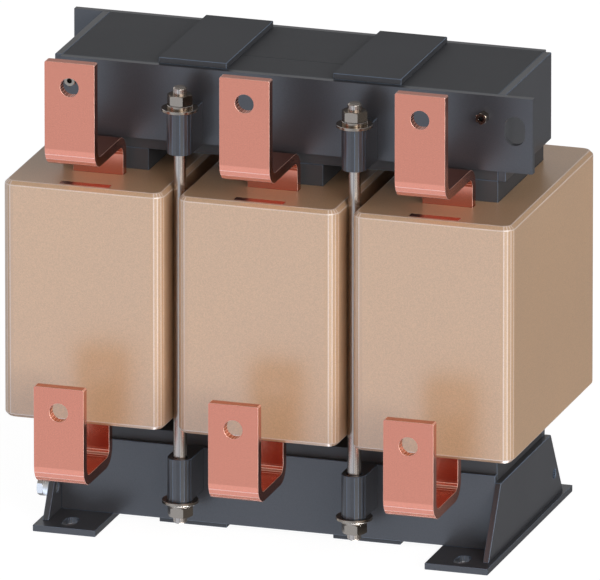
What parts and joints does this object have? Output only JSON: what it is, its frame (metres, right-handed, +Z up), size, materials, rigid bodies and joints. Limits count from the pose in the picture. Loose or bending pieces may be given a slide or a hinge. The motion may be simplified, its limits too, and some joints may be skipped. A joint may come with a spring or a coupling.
{
  "type": "three-phase reactor",
  "caption": "Iron-core reactor with potted coils in a row, bent copper terminals at the front and slotted foot plates.",
  "frame": {"origin": "on the floor, in the middle of the outline", "axes": "+X along the row of coils to the right, +Y from the terminals to the rear, +Z up"},
  "size_m": [0.3008, 0.2116, 0.287],
  "materials": {
    "core_laminations": "dark varnished electrical steel, satin, with fine sheet edges",
    "frame_steel": "dark anthracite paint, satin",
    "coil_casing": "tan casting resin with a fine grain, satin to gloss",
    "terminal_copper": "bare copper bar, satin, bright at the edges",
    "winding_foil": "copper foil with insulating film between the turns",
    "plated_steel": "nickel-plated steel, bright",
    "glass_laminate": "glass-fibre laminate, matt"
  },
  "bodies": {
    "root": {"left_limb": "core_laminations", "left_gap_spacers": "glass_laminate", "left_packing_strips": "glass_laminate", "left_coil_former": "glass_laminate", "left_inner_winding": "winding_foil", "left_outer_winding": "winding_foil", "left_duct_sticks": "glass_laminate", "left_coil_casing": "coil_casing", "left_upper_terminal": "terminal_copper", "left_lower_terminal": "terminal_copper", "middle_limb": "core_laminations", "middle_gap_spacers": "glass_laminate", "middle_packing_strips": "glass_laminate", "middle_coil_former": "glass_laminate", "middle_inner_winding": "winding_foil", "middle_outer_winding": "winding_foil", "middle_duct_sticks": "glass_laminate", "middle_coil_casing": "coil_casing", "middle_upper_terminal": "terminal_copper", "middle_lower_terminal": "terminal_copper", "right_limb": "core_laminations", "right_gap_spacers": "glass_laminate", "right_packing_strips": "glass_laminate", "right_coil_former": "glass_laminate", "right_inner_winding": "winding_foil", "right_outer_winding": "winding_foil", "right_duct_sticks": "glass_laminate", "right_coil_casing": "coil_casing", "right_upper_terminal": "terminal_copper", "right_lower_terminal": "terminal_copper", "upper_yoke": "core_laminations", "lower_yoke": "core_laminations", "left_end_plate": "frame_steel", "right_end_plate": "frame_steel", "front_upper_clamp": "frame_steel", "rear_upper_clamp": "frame_steel", "front_lower_clamp": "frame_steel", "rear_lower_clamp": "frame_steel", "front_upper_lugs": "frame_steel", "rear_upper_lugs": "frame_steel", "front_lower_lugs": "frame_steel", "rear_lower_lugs": "frame_steel", "upper_bridge_plates": "frame_steel", "lower_bridge_plates": "frame_steel", "tie_rods": "plated_steel", "tie_rod_nuts": "plated_steel", "tie_rod_washers": "plated_steel", "tie_rod_spring_washers": "plated_steel", "yoke_studs": "plated_steel", "yoke_stud_nuts": "plated_steel", "left_foot_plate": "frame_steel", "right_foot_plate": "frame_steel", "left_foot_web": "frame_steel", "right_foot_web": "frame_steel", "earth_bolt": "plated_steel", "earth_bolt_washer": "plated_steel", "earth_bolt_spring_washer": "plated_steel"}
  },
  "joints": []
}
